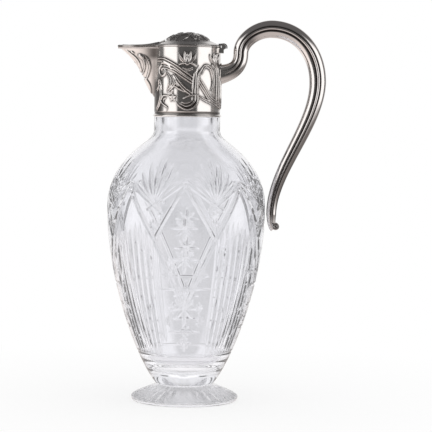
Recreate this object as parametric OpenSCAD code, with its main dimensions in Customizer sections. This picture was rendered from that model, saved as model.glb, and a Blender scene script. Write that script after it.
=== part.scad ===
// Claret jug: a cut-glass bowl on a foot, a silver-plated neck mount with a spout,
// a domed lid on a three-knuckle hinge, and a tall hooked handle.
// Millimetres. +Z is up, the origin is the centre of the foot's underside,
// the spout points along -X and the handle along +X.

/* [Glass] */
// Radius of the foot's rim
foot_r = 42.2; // [39:0.1:46]
// Height of the foot's upright rim
foot_rim_h = 3.6; // [2.4:0.1:4.6]
// Radius of the waist where the foot meets the bowl
waist_r = 22.4; // [20:0.1:26]
// Height of that waist above the table
waist_z = 13.4; // [12:0.1:16]
// Largest radius of the bowl
bowl_r = 62.4; // [58:0.1:66]
// Height of the bowl's widest level
belly_z = 152; // [146:0.5:158]
// Height at which the shoulder runs into the neck
shoulder_z = 204.4; // [202:0.1:207]
// Radius of the neck below the mount
neck_r = 26; // [24.5:0.1:27.5]
// Thickness of the bowl's wall
glass_wall = 5; // [4:0.1:6.5]
// Height of the bowl's inside floor
floor_z = 25; // [22:0.5:29]
// How much the neck is ground down under the mount
neck_step = 2; // [1.5:0.1:2.6]
// Length of the neck inside the mount
neck_engage = 17; // [14:0.5:19]
// Height of the ring cut under the pattern
ring_cut_z = 39.5; // [36:0.5:44]
// Depth of the ring cut
ring_cut_depth = 0.7; // [0.4:0.1:1.2]

/* [Cut pattern] */
// Depth of the cuts in the glass
cut_depth = 1.1; // [0.8:0.05:1.4]
// Half of a cut's width at the surface
cut_half = 1.3; // [1:0.05:1.6]
// Height of the point from which a fan's rays spread
fan_z = 159.5; // [157:0.5:162]
// Length of a fan's middle ray
fan_ray = 30; // [26:0.5:32]
// Height of the tips of the arches
arch_z = 174; // [171:0.5:176]
// Height at which the long legs of the arches end
leg_z = 131; // [128:0.5:134]
// Height of the lower point of the star panels
panel_z = 78; // [74:0.5:84]
// Height at which the flutes end
flute_foot_z = 44; // [43:0.5:48]
// Height of the large star in each panel
star_z = 116; // [112:0.5:120]
// Size of the large star, from its middle to a point
star_reach = 10; // [8:0.5:11]
// Number of rays cut into the foot
foot_rays = 16; // [12:4:24]

/* [Mount] */
// Height of the mount's lower edge above the table
mount_z = 224.4; // [222:0.1:227]
// Height of the mount from its lower edge to its mouth
mount_h = 54.3; // [52:0.1:57]
// Thickness of the mount's sheet metal
mount_wall = 0.8; // [0.6:0.1:1]
// Thickness of the plaster between neck and mount
plaster_t = 1.2; // [0.9:0.1:1.5]
// Radius of the rounded wire along the mount's lower edge
lower_wire_r = 0.9; // [0.6:0.1:1.2]
// Height of the flat wire round the mouth
upper_wire_h = 1.2; // [0.9:0.1:2]
// How far the wire round the mouth stands out
upper_wire_t = 0.3; // [0.2:0.05:0.5]
// Thickness of the ring that caps the glass neck
cap_ring_t = 0.8; // [0.6:0.1:1.2]
// Length of that ring's skirt inside the neck
cap_skirt_h = 6; // [4:0.5:9]

/* [Chasing] */
// How far the chased stems stand out of the mount
stem_rise = 0.8; // [0.5:0.05:1]
// Half of the width of a broad stem
stem_half = 2; // [1.4:0.1:2.4]
// Azimuth of the middle bud, counted from the handle's side
bud_azimuth = -89.5; // [-95:0.5:-85]
// Depth of the buds' feet below the mount's mouth
bud_z = 12.9; // [12.3:0.1:14.3]
// Length of a bud
bud_l = 9; // [8:0.1:10]

/* [Spout] */
// Distance of the spout's tip from the jug's axis
spout_reach = 54.4; // [50:0.1:58]
// Height of the spout from its root to its rim
spout_drop = 41; // [38:0.1:43]
// Half the width of the spout where its rim leaves the mount
spout_half_w = 13; // [11:0.1:15]
// Thickness of the spout's wall
spout_wall = 0.9; // [0.7:0.1:1.2]

/* [Lid] */
// Thickness of the lid's flat plate
plate_t = 1.7; // [1.3:0.1:2.1]
// How far the plate stands past the mount
plate_overhang = 0.5; // [0.3:0.1:0.7]
// Rise of the sloping border between the plate's rim and the dome
border_h = 3; // [2.2:0.1:3.6]
// Radius of the dome's base
dome_r = 19.2; // [17.5:0.1:20.5]
// Height of the dome above the sloping border
dome_h = 7.6; // [6:0.1:10]
// Thickness of the dome's metal
dome_wall = 0.9; // [0.7:0.1:1.2]
// Height of the raised cover over the spout, where it meets the dome
beak_h = 5.2; // [4:0.1:6]
// Depth of the ring under the lid that locates it in the mouth
bezel_h = 3; // [2:0.1:4]
// Thickness of that ring
bezel_t = 0.8; // [0.6:0.1:1.1]
// Gap between that ring and the mount
bezel_gap = 0.4; // [0.3:0.05:0.6]

/* [Hinge] */
// Distance of the hinge axis from the mount's wall
hinge_standoff = 2.2; // [2.1:0.05:2.5]
// How far the hinge axis lies above the mouth
hinge_rise = 0.6; // [0.2:0.05:0.9]
// Radius of the hinge barrel
barrel_r = 1.8; // [1.6:0.05:1.9]
// Radius of the hinge pin
pin_r = 0.9; // [0.7:0.05:1]
// Length of the whole barrel
barrel_l = 18; // [15:0.5:21]
// Length of the lid's own knuckle
knuckle_l = 6.4; // [5:0.1:8]
// Play of the pin in the lid's knuckle
pin_play = 0.05; // [0.03:0.01:0.08]
// Gap between neighbouring knuckles
knuckle_gap = 0.3; // [0.2:0.05:0.5]
// Gap left round the turning barrel
turning_gap = 0.3; // [0.25:0.05:0.4]
// Thickness of the leaf that joins the knuckle to the lid
leaf_t = 1; // [0.8:0.1:1.3]
// Thickness of the curled thumb piece
thumb_t = 0.9; // [0.7:0.1:1.1]
// Angle below level at which the thumb piece's curl ends
thumb_curl = 24; // [10:1:28]

/* [Handle] */
// Height of the handle's arch above the mouth, at its centreline
arch_rise = 15.3; // [13:0.1:18]
// Distance from the mount's wall to the handle's riser, at its centreline
riser_standoff = 15.7; // [15:0.1:18]
// Distance of the arch's crown from the jug's axis
arch_x = 65.8; // [63:0.1:69]
// Farthest reach of the handle's centreline from the jug's axis
handle_reach = 102.4; // [98:0.1:107]
// Height of that farthest point
reach_z = 252.5; // [248:0.5:257]
// How far the handle's root lies below the mouth
root_drop = 20.7; // [19.5:0.1:22]
// Gap between the handle's free end and the bowl
tail_gap = 0.9; // [0.6:0.1:1.6]
// Height of the handle's free end
tail_z = 148; // [144:0.5:152]
// Half thickness of the handle at its root
root_half = 8; // [7:0.1:8.4]
// Half thickness at the riser
riser_half = 6; // [5:0.1:6.6]
// Half thickness at the arch
arch_half = 6.9; // [6:0.1:7.6]
// Half thickness at the farthest reach
reach_half = 6.7; // [6:0.1:7.4]
// Half thickness at the free end
tail_half = 3.9; // [3.2:0.1:4.4]
// Sideways width of the handle as a part of its thickness
handle_width_ratio = 0.95; // [0.8:0.01:1.1]
// Radius of the round plate between handle and mount
seat_r = 8.9; // [8.6:0.1:10]
// Thickness of that plate
seat_t = 0.9; // [0.6:0.1:1.2]
// Radius of the rolled scroll on the free end
scroll_r = 2.9; // [2.4:0.1:3.3]
// Length of that scroll
scroll_l = 9.4; // [8.6:0.1:11]

/* [Hidden] */
silver = [0.76, 0.74, 0.71];
round_fn = 96;
fit = 0.03;          // bare seating clearance between pieces that touch all over
curve_steps = 16;    // straight pieces in one stretch of a curve
past = 20;           // how far a cutter runs past what it cuts

// Sizes worked out from the ones above
mouth_z = mount_z + mount_h;
ground_r = neck_r - neck_step;
sleeve_in_r = ground_r + plaster_t;
sleeve_r = sleeve_in_r + mount_wall;
neck_top_z = mount_z + neck_engage;
neck_in_r = neck_r - glass_wall;
hinge_x = sleeve_r + hinge_standoff;
hinge_z = mouth_z + hinge_rise;
plate_r = sleeve_r + plate_overhang;
plate_top_z = mouth_z + plate_t;
lug_l = (barrel_l - knuckle_l) / 2 - knuckle_gap;
seat_out_r = sleeve_r + seat_t;
border_r = plate_r - 0.9;
leaf_x = border_r - 1.5;
leaf_top_z = plate_top_z + fit + leaf_t;

// A point on a cubic curve, and a stretch of such points
function bez(p, t) = pow(1 - t, 3) * p[0] + 3 * pow(1 - t, 2) * t * p[1]
                   + 3 * (1 - t) * t * t * p[2] + pow(t, 3) * p[3];
function curve(p, steps = curve_steps, first = 0) = [for (i = [first:steps]) bez(p, i / steps)];
function unit(v) = v / norm(v);
function mix(a, b, t) = a + (b - a) * t;
// The direction of a chain of points at one of them
function along(pts, i) = unit(pts[min(i + 1, len(pts) - 1)] - pts[max(i - 1, 0)]);

// Outside of the glass, as radius and height, from the foot's rim up to the mount
foot_top = curve([[foot_r, foot_rim_h], [foot_r - 0.7, foot_rim_h + 2.4],
                  [mix(waist_r, foot_r, 0.38), waist_z - 3.9], [waist_r, waist_z]], 10);
bowl_side = curve([[waist_r, waist_z], [waist_r + 13.5, waist_z + 14.4],
                   [bowl_r, mix(waist_z, belly_z, 0.58)], [bowl_r, belly_z]], 24, 1);
shoulder = curve([[bowl_r, belly_z], [bowl_r, mix(belly_z, shoulder_z, 0.46)],
                  [neck_r + 25, shoulder_z - 13.4], [neck_r + 7, shoulder_z]], 18, 1);
neck_sweep = curve([[neck_r + 7, shoulder_z], [neck_r + 3, shoulder_z + 3],
                    [neck_r, shoulder_z + 5.4], [neck_r, shoulder_z + 10]], 8, 1);
vessel = concat(bowl_side, shoulder, neck_sweep);

// Radius of the vessel's outside at a height
vessel_heights = [for (p = vessel) [p[1], p[0]]];
function vessel_r(z) = lookup(z, vessel_heights);

// Inside of the glass: the outside moved in by the wall, above a rounded floor
wall_start_z = floor_z + 9;
inner_wall = [for (i = [0:len(vessel) - 1]) let (d = along(vessel, i), p = vessel[i])
              if (p[1] > wall_start_z) [p[0] - glass_wall * d[1], p[1] + glass_wall * d[0]]];
inner_floor = curve([[0, floor_z], [inner_wall[0][0] * 0.55, floor_z],
                     [inner_wall[0][0] * 0.86, floor_z + 3], inner_wall[0]], 8);

// Degrees that the vessel's wall faces upward at a height
function wall_lean(z) = atan2(vessel_r(z - 2) - vessel_r(z + 2), 4);

// The wheel's V-shaped edge as a bar along Z, sunk below a surface at x = 0 that faces +X
module wheel_edge(length) {
    out = 3;
    translate([-cut_depth, 0, 0]) linear_extrude(length)
        polygon([[0, 0], [cut_depth * out, cut_half * out], [cut_depth * out, -cut_half * out]]);
}

// One touch of the wheel on the vessel's wall, turned away from upright
module wheel_cut(azimuth, z, turn, length) {
    rotate([0, 0, azimuth]) translate([vessel_r(z), 0, z]) rotate([0, -wall_lean(z), 0])
        rotate([turn, 0, 0]) translate([0, 0, -length / 2]) wheel_edge(length);
}

// A long cut between two places on the wall, [azimuth, height], made in several touches
module mitre_cut(from, to, touches) {
    for (i = [0:touches - 1]) {
        at = mix(from, to, (i + 0.5) / touches);
        across = (to[0] - from[0]) * PI / 180 * vessel_r(at[1]) / touches;
        up = (to[1] - from[1]) / cos(wall_lean(at[1])) / touches;
        wheel_cut(at[0], at[1], -atan2(across, up), norm([across, up]) * 1.15);
    }
}

// Three rays that spread upward from one point
module fan() {
    for (spread = [-30, 0, 30]) {
        reach = fan_ray * cos(spread);
        mitre_cut([0, fan_z + 3], [spread * 0.45, fan_z + reach], 1);
    }
}

// Half of an arch: a short outer leg and a long inner one
module arch_legs(side) {
    mitre_cut([0, arch_z], [side * 27, fan_z - 6], 2);
    mitre_cut([0, arch_z - 2], [side * 22.5, leg_z], 3);
}

// A panel with an arch, a pointed foot, a level cut and a star
module star_panel() {
    for (side = [-1, 1]) {
        arch_legs(side);
        mitre_cut([side * 22.5, leg_z], [0, panel_z], 3);
        mitre_cut([0, panel_z + 15], [side * 20, panel_z + 15], 1);
    }
    for (turn = [0, 45, 90, 135]) wheel_cut(0, star_z, turn, 2 * star_reach);
    for (turn = [0, 45, 90, 135]) wheel_cut(0, panel_z, turn, 2.4 * star_reach);
}

// A panel with eight upright flutes under an arch
module flute_panel() {
    spacing = 5.2;
    for (side = [-1, 1]) {
        arch_legs(side);
        for (k = [0:3]) {
            flute = side * spacing * (k + 0.5);
            mitre_cut([flute, leg_z + 4 - 3 * k], [flute, flute_foot_z], 4);
        }
    }
}

// A straight cut up the slope of the foot's top
module foot_ray() {
    start = [foot_r - 2.5, foot_rim_h + 2.5];
    end = [waist_r + 4, waist_z - 2.4];
    way = end - start;
    translate([start[0], 0, start[1]]) rotate([0, atan2(way[0], way[1]), 0]) wheel_edge(norm(way));
}

module glass_body() {
    outline = concat([[0, 0], [foot_r - 0.8, 0], [foot_r, 0.8]], foot_top, vessel,
                     [[neck_r, mount_z], [ground_r, mount_z], [ground_r, neck_top_z],
                      [neck_in_r, neck_top_z]],
                     [for (i = [len(inner_wall) - 1:-1:0]) inner_wall[i]],
                     [for (i = [len(inner_floor) - 2:-1:0]) inner_floor[i]]);
    color([0.85, 0.88, 0.92, 0.4])
    difference() {
        rotate_extrude($fn = round_fn) polygon(outline);
        rotate_extrude($fn = round_fn)
            translate([vessel_r(ring_cut_z) + 1, ring_cut_z]) circle(1 + ring_cut_depth, $fn = 24);
        for (panel = [0:3]) rotate([0, 0, 90 * panel]) {
            star_panel();
            rotate([0, 0, 45]) flute_panel();
            for (side = [-1, 1]) rotate([0, 0, side * 22.5]) fan();
        }
        for (i = [0:foot_rays - 1]) rotate([0, 0, 360 * (i + 0.5) / foot_rays]) foot_ray();
    }
}

module ring(r_in, r_out, z, h) {
    translate([0, 0, z]) difference() {
        cylinder(r = r_out, h = h, $fn = round_fn);
        translate([0, 0, -1]) cylinder(r = r_in, h = h + 2, $fn = round_fn);
    }
}

module neck_plaster() {
    color("whitesmoke")
        ring(ground_r + fit, sleeve_in_r - fit, mount_z + fit, neck_engage - 2 * fit);
}

// Caps the ground rim of the glass and the plaster, with a skirt down the neck's bore
module neck_cap_ring() {
    skirt_r = neck_in_r - fit;
    color(silver) {
        ring(skirt_r - cap_ring_t, sleeve_in_r - fit, neck_top_z + fit, cap_ring_t);
        ring(skirt_r - cap_ring_t, skirt_r, neck_top_z - cap_skirt_h, cap_skirt_h + fit + cap_ring_t);
    }
}

// Spout: level sections of a rounded V whose nose follows the keel's curve
keel = [[sleeve_r - 0.6, mouth_z - spout_drop],
        [mix(sleeve_r, spout_reach, 0.25), mouth_z - 0.743 * spout_drop],
        [mix(sleeve_r, spout_reach, 0.37), mouth_z - 0.3 * spout_drop],
        [spout_reach, mouth_z]];
spout_rings = 14;
spout_side = 8;
channel_first_ring = 3;

// The V's outline at one level: from one edge round the nose to the other.
// inset moves it in by a wall, and sharp is the V's power, near 1 for straight sides.
function spout_v(t, inset) =
    let (nose = bez(keel, t),
         share = max((nose[1] - mouth_z) / spout_drop + 1, 0.03),
         sharp = mix(1.9, 1.22, share),
         w = spout_half_w * pow(share, 1.15),
         edge = sqrt(pow(sleeve_r, 2) - pow(w, 2)) - 1.2,
         depth = nose[0] - 1.7 * inset - edge)
    [for (i = [-spout_side:spout_side]) let (u = i / spout_side)
        [-edge - depth * (1 - pow(abs(u), sharp)), (w - inset) * u, nose[1]]];

// One closed level section: the V, closed off at the back inside the mount
function spout_section(t, inset) =
    let (v = spout_v(t, inset), last = len(v) - 1, back = -sleeve_r / 1.5)
    concat([[back, v[0][1], v[0][2]]], v, [[back, v[last][1], v[last][2]]]);

// A solid through rings of equal length that run clockwise as seen from the last ring
module loft(rings) {
    n = len(rings[0]);
    m = len(rings);
    polyhedron(
        points = [for (r = rings) for (p = r) p],
        faces = concat(
            [[for (i = [n - 1:-1:0]) i]],
            [for (k = [0:m - 2]) for (i = [0:n - 1]) let (j = (i + 1) % n)
                each [[k * n + i, k * n + j, (k + 1) * n + j], [k * n + i, (k + 1) * n + j, (k + 1) * n + i]]],
            [[for (i = [0:n - 1]) (m - 1) * n + i]]),
        convexity = 6);
}

module spout_solid(inset, first_ring = 0, above = 0) {
    loft(concat([for (k = [first_ring:spout_rings]) spout_section(k / spout_rings, inset)],
                above == 0 ? [] : [[for (p = spout_section(1, inset)) p + [0, 0, above]]]));
}

// The hollow that wine runs through, from above the capped neck to past the rim
module spout_channel() {
    spout_solid(spout_wall, channel_first_ring, 1);
}

module spout() {
    color(silver)
    difference() {
        spout_solid(0);
        spout_channel();
        translate([0, 0, mount_z]) cylinder(r = sleeve_r, h = mount_h + 1, $fn = round_fn);
    }
}

// The spout's plan at its rim, grown by a margin
module spout_plan(grow) {
    v = spout_v(1, -grow);
    polygon(concat([[0, v[0][1]]], [for (p = v) [p[0], p[1]]], [[0, v[len(v) - 1][1]]]));
}

// Flat wire along the spout's rim
module spout_wire() {
    color(silver)
    translate([0, 0, mouth_z - upper_wire_h]) difference() {
        linear_extrude(upper_wire_h) spout_plan(upper_wire_t);
        translate([0, 0, -1]) linear_extrude(upper_wire_h + 2) spout_plan(0.02);
        translate([0, 0, -1])
            cylinder(r = sleeve_r + upper_wire_t + fit, h = upper_wire_h + 2, $fn = round_fn);
    }
}

// A place on the mount: [azimuth, height above its lower edge], moved out of its surface and sideways
function on_mount(at, out, side = [0, 0]) =
    let (a = at[0] + side[0] * 180 / PI / sleeve_r, r = sleeve_r + out)
    [r * cos(a), r * sin(a), mount_z + at[1] + side[1]];

// A chased stem: a low ridge along a curve of four places on the mount
module stem(path, half = stem_half, steps = 7) {
    sunk = 0.3;
    line = curve(path, steps);
    to_mm = PI / 180 * sleeve_r;
    loft([for (i = [0:steps])
        let (d = along([for (p = line) [p[0] * to_mm, p[1]]], i), across = half * [d[1], -d[0]])
        [on_mount(line[i], -sunk, across), on_mount(line[i], stem_rise), on_mount(line[i], -sunk, -across)]]);
}

// Buds and stems on one face of the mount. Azimuths are counted from the middle of that face
module chasing() {
    bud_foot = mount_h - bud_z;
    for (bud = [[0, bud_foot], [53.5, bud_foot]])
        for (lean = [-9, 0, 9])
            stem([bud, bud + [lean * 0.4, bud_l * 0.3], bud + [lean * 0.9, bud_l * 0.6], bud + [lean, bud_l]],
                 1.5, 4);
    stem([[-60, 45], [-38, 45], [-20, 38], [8, 30]]);
    stem([[-38, 37], [-24, 34], [-10, 29], [8, 18]], 1.4);
    stem([[24, 40], [14, 34], [13, 26], [13.5, 17.5]]);
    stem([[21, 28], [24, 46], [54, 44], [49, 21]], 1.5, 10);
    stem([[20, 28], [34, 18], [50, 13], [70, 9]]);
    stem([[17, 17], [20, 2], [-14, 2], [-17, 12]], 1.5, 10);
    stem([[-37, 37], [-40, 43], [-57, 40], [-56, 33]], 1.3);
    stem([[-56, 33], [-50, 27], [-38, 31], [-44, 37]], 1.2);
    stem([[-30, 17], [-50, 19], [-52, 9], [-36, 5]], 1.4);
    stem([[-27, 33], [-18, 28], [-28, 22], [-38, 20]], 1.3);
}

module mount_sleeve() {
    color(silver)
    difference() {
        union() {
            ring(sleeve_in_r, sleeve_r, mount_z, mount_h);
            rotate([0, 0, bud_azimuth]) chasing();
            mirror([0, 1, 0]) rotate([0, 0, bud_azimuth]) chasing();
        }
        spout_channel();
    }
}

module mount_lower_wire() {
    color(silver)
    rotate_extrude($fn = round_fn) intersection() {
        translate([sleeve_r, mount_z + lower_wire_r]) circle(lower_wire_r, $fn = 32);
        translate([sleeve_r + fit, mount_z]) square([2 * lower_wire_r, 2 * lower_wire_r]);
    }
}

// Space that the turning barrel needs, as a cylinder along the hinge axis
module barrel_space(r, l) {
    translate([hinge_x, 0, hinge_z]) rotate([90, 0, 0]) cylinder(r = r, h = l, center = true, $fn = 48);
}

module mount_upper_wire() {
    color(silver)
    difference() {
        ring(sleeve_r + fit, sleeve_r + upper_wire_t, mouth_z - upper_wire_h, upper_wire_h);
        translate([0, 0, mouth_z - upper_wire_h - 1]) linear_extrude(upper_wire_h + 2) spout_plan(fit);
        translate([sleeve_r / 2, -barrel_l / 2 - fit, mouth_z - past])
            cube([sleeve_r, barrel_l + 2 * fit, 2 * past]);
    }
}

// Handle: four curves in the XZ plane from the mount over the arch to the free end, then a curl
tail_x = bowl_r + tail_gap + tail_half;
riser = [sleeve_r + riser_standoff, mouth_z - 4];
root = [sleeve_r - 1, mouth_z - root_drop];
crown = [arch_x, mouth_z + arch_rise];
reach = [handle_reach, reach_z];
tail = [tail_x, tail_z];
scroll_at = [tail_x + 3.4, tail_z - tail_half - 5.2];
handle_steps = 11;
curl_steps = 5;
handle_sides = 16;
handle_path = concat(
    curve([root, root + [11, 2], riser - [0, 10.5], riser], handle_steps),
    curve([riser, riser + [0, 10.8], crown - [11.5, 0], crown], handle_steps, 1),
    curve([crown, crown + [22.5, 0], reach + [0, 22.2], reach], handle_steps, 1),
    curve([reach, reach - [0, 34], tail + [0, 35], tail], handle_steps, 1),
    curve([tail, tail - [0, 4], scroll_at - [3.2, 0.8], scroll_at - [1.6, 2.4]], curl_steps, 1));
// Half thickness at the joins of those stretches, spread evenly between them but flared at the root
halves = [root_half, riser_half, arch_half, reach_half, tail_half, tail_half * 0.62];
function handle_half(i) =
    i < handle_steps ? mix(riser_half, root_half, pow(1 - i / handle_steps, 3))
    : i >= 4 * handle_steps ? mix(halves[4], halves[5], (i - 4 * handle_steps) / curl_steps)
    : let (k = floor(i / handle_steps)) mix(halves[k], halves[k + 1], i / handle_steps - k);
// A ring of the handle: a softly squared oval across the path
function handle_ring(i, back = 0) =
    let (p = handle_path[i], d = along(handle_path, i), h = handle_half(i))
    [for (k = [0:handle_sides - 1]) let (a = 360 * k / handle_sides,
        c = sign(cos(a)) * pow(abs(cos(a)), 0.86) * h,
        s = sign(sin(a)) * pow(abs(sin(a)), 0.86) * h * handle_width_ratio)
        [p[0] - d[1] * c, s, p[1] + d[0] * c]];

module handle() {
    color(silver)
    difference() {
        loft([for (i = [0:len(handle_path) - 1]) handle_ring(i)]);
        translate([0, 0, mount_z]) cylinder(r = seat_out_r + fit, h = mount_h + 1, $fn = round_fn);
        scroll_cylinder(scroll_r + fit, scroll_l + 2);
    }
}

module scroll_cylinder(r, l) {
    translate([scroll_at[0], 0, scroll_at[1]]) rotate([90, 0, 0])
        cylinder(r = r, h = l, center = true, $fn = 48);
}

module handle_scroll() {
    color(silver) scroll_cylinder(scroll_r, scroll_l);
}

module handle_seat() {
    color(silver)
    intersection() {
        ring(sleeve_r + fit, seat_out_r, mount_z, mount_h);
        translate([0, 0, root[1]]) rotate([0, 90, 0]) cylinder(r = seat_r, h = sleeve_r + past, $fn = 48);
    }
}

// Hinge: two lugs on the mount, one knuckle on the lid, one pin
module hinge_lug(side) {
    start = knuckle_l / 2 + knuckle_gap;
    color(silver)
    difference() {
        union() {
            translate([hinge_x, side * (start + lug_l / 2), hinge_z]) rotate([90, 0, 0])
                cylinder(r = barrel_r, h = lug_l, center = true, $fn = 48);
            translate([sleeve_r / 2, side > 0 ? start : -start - lug_l, hinge_z - 2.6 * barrel_r])
                cube([hinge_x - sleeve_r / 2, lug_l, 2.6 * barrel_r - hinge_rise - fit]);
        }
        translate([0, 0, mount_z]) cylinder(r = sleeve_r + fit, h = 2 * mount_h, $fn = round_fn);
        barrel_space(pin_r + fit, barrel_l + 2);
    }
}

module hinge_lug_near() {
    hinge_lug(-1);
}

module hinge_lug_far() {
    hinge_lug(1);
}

module hinge_pin() {
    color("silver") barrel_space(pin_r, barrel_l + 0.6);
}

// The lid's outline, a circle with the spout's V, cut back where the barrel turns
module lid_plate() {
    color(silver)
    difference() {
        union() {
            translate([0, 0, mouth_z]) cylinder(r = plate_r, h = plate_t, $fn = round_fn);
            translate([0, 0, mouth_z]) linear_extrude(plate_t) spout_plan(plate_overhang);
        }
        translate([0, 0, mouth_z - 1])
            cylinder(r = dome_r - dome_wall - 0.6, h = plate_t + 2, $fn = round_fn);
        barrel_space(barrel_r + turning_gap, barrel_l + 2);
    }
}

// Sloping border and dome in one stamping, hollow under the dome
module lid_dome() {
    rise = border_h + dome_h;
    in_r = dome_r - dome_wall;
    outer = curve([[dome_r, border_h], [dome_r - 2, mix(border_h, rise, 0.62)],
                   [dome_r * 0.52, rise], [0, rise]], 14);
    inner = curve([[in_r, border_h - dome_wall], [in_r - 2, mix(border_h, rise, 0.62) - dome_wall],
                   [in_r * 0.52, rise - dome_wall], [0, rise - dome_wall]], 14);
    color(silver)
    difference() {
        translate([0, 0, plate_top_z])
            rotate_extrude($fn = round_fn)
                polygon(concat([[in_r, 0], [border_r, 0], [border_r, 0.3]], outer,
                               [for (i = [len(inner) - 1:-1:0]) inner[i]]));
        translate([leaf_x - fit, -knuckle_l / 2 - fit, plate_top_z - 1])
            cube([past, knuckle_l + 2 * fit, border_h]);
    }
}

// Raised cover over the spout: half-oval sections that swell from the tip to the dome's foot
module lid_beak() {
    tip_x = spout_reach - 3;
    back_x = dome_r - 1;
    steps = 12;
    color(silver)
    difference() {
        loft([for (k = [0:steps]) let (t = k / steps,
              w = (spout_half_w - 1.4) * pow(max(t, 0.04), 0.8),
              h = mix(0.3, beak_h, pow(t, 4)))
              [for (a = [180:-15:0]) [-mix(tip_x, back_x, t), w * cos(a), plate_top_z + h * sin(a)]]]);
        translate([0, 0, plate_top_z - 1]) cylinder(r = dome_r + fit, h = beak_h + 4, $fn = round_fn);
        translate([0, 0, plate_top_z + 0.3])
            cylinder(r1 = border_r + fit, r2 = dome_r + fit, h = border_h - 0.3, $fn = round_fn);
        translate([0, 0, plate_top_z - 1]) cylinder(r = border_r + fit, h = 1.3, $fn = round_fn);
    }
}

module lid_bezel() {
    bezel_r = sleeve_in_r - bezel_gap;
    color(silver) ring(bezel_r - bezel_t, bezel_r, mouth_z - bezel_h, bezel_h);
}

// Lid's knuckle, with the leaf that laps onto the plate
module lid_knuckle() {
    color(silver)
    difference() {
        union() {
            barrel_space(barrel_r, knuckle_l);
            translate([leaf_x, -knuckle_l / 2, plate_top_z + fit])
                cube([hinge_x - leaf_x, knuckle_l, leaf_t]);
            translate([hinge_x - barrel_r * 0.6, -knuckle_l / 2, hinge_z])
                cube([barrel_r * 0.6, knuckle_l, leaf_top_z - hinge_z]);
        }
        barrel_space(pin_r + pin_play, barrel_l);
    }
}

// Thumb piece: a strip that starts on the leaf and curls down behind the barrel
module thumb_piece() {
    foot_h = leaf_top_z - hinge_z + fit;
    curl = [for (i = [0:curve_steps]) let (t = i / curve_steps)
            [mix(90, -thumb_curl, t), mix(foot_h, barrel_r + 0.2, pow(t, 0.8))]];
    color(silver)
    translate([hinge_x, knuckle_l / 2, hinge_z]) rotate([90, 0, 0])
        linear_extrude(knuckle_l)
            polygon(concat(
                [[leaf_x - hinge_x, foot_h]],
                [for (c = curl) c[1] * [cos(c[0]), sin(c[0])]],
                [for (i = [curve_steps:-1:0]) (curl[i][1] + thumb_t) * [cos(curl[i][0]), sin(curl[i][0])]],
                [[leaf_x - hinge_x, foot_h + thumb_t * 0.6]]));
}

glass_body();
neck_plaster();
neck_cap_ring();
mount_sleeve();
mount_lower_wire();
mount_upper_wire();
spout();
spout_wire();
handle_seat();
handle();
handle_scroll();
hinge_lug_near();
hinge_lug_far();
hinge_pin();
lid_plate();
lid_dome();
lid_beak();
lid_bezel();
lid_knuckle();
thumb_piece();
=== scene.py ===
"""A cut-glass claret jug with a chased silver-plated mount, a hinged lid and a hooked handle.

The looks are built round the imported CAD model. Shapes are worked out in millimetres and written in
metres. Azimuth is in degrees: 0 faces the photograph's camera (-Y), 90 is the handle's side (+X).
"""

import math

import bpy
import numpy as np
from mathutils import Matrix, Vector


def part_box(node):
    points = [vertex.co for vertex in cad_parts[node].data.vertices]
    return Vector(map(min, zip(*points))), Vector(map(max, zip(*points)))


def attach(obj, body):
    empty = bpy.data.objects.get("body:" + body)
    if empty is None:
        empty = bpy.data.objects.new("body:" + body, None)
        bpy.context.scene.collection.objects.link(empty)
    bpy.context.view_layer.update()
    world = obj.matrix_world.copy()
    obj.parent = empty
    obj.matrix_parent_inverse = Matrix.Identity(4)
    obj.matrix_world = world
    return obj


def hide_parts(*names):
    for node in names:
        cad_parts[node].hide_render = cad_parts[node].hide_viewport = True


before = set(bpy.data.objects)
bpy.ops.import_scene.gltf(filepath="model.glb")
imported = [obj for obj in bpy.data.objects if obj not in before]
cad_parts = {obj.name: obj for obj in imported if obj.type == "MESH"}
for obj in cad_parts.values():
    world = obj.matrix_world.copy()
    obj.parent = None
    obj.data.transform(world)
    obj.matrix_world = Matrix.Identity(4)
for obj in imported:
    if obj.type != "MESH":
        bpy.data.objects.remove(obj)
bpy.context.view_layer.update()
scene = bpy.context.scene
scene.view_settings.view_transform = "Standard"

MM = 0.001

# Camera, in millimetres: where it stands and the point that it looks at
CAMERA_AT = (23.6, -1500, 235)
CAMERA_AIM = (23.6, 0, 146.4)
CAMERA_ROLL = 0.66      # degrees that the photograph leans
CAMERA_FOCAL = 158.4


def node_box(name):
    """A CAD node's corners in millimetres."""
    low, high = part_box(name)
    return low / MM, high / MM


# Sizes read from the frame
glass_high = node_box("glass_body")[1]
sleeve_low, sleeve_high = node_box("mount_sleeve")
dome_low, dome_high = node_box("lid_dome")
spout_low, spout_high = node_box("spout")
plate_low, plate_high = node_box("lid_plate")
scroll_low, scroll_high = node_box("handle_scroll")
BOWL_R = glass_high.x
NECK_TOP_Z = glass_high.z
MOUNT_Z = sleeve_low.z
MOUTH_Z = sleeve_high.z
SLEEVE_R = sleeve_high.x
PLATE_TOP_Z = plate_high.z
LOWER_WIRE_TOP = node_box("mount_lower_wire")[1].z - MOUNT_Z
SPOUT_REACH = -spout_low.x
SPOUT_DROP = MOUTH_Z - spout_low.z
SPOUT_HALF_W = spout_high.y

# Glass: the same curves as the CAD model's
FOOT_R = 42.2
FOOT_RIM_H = 3.6
WAIST_R = 22.4
WAIST_Z = 13.4
BELLY_Z = 152
SHOULDER_Z = 204.4
NECK_R = 26
GROUND_R = 24
NECK_IN_R = 21
GLASS_WALL = 5
FLOOR_Z = 25
RING_CUT_Z = 39.5

# Lid: the dome, the border round it and the cover on the tongue
DOME_R = 19.2
DOME_WALL = 0.9
BORDER_R = 25.6
BORDER_H = 3
BEAK_H = 5.2


# Lines and grids


def mix(a, b, t):
    return a + (b - a) * t


def unit(x):
    """The same, kept between 0 and 1."""
    return np.clip(x, 0, 1)


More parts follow.
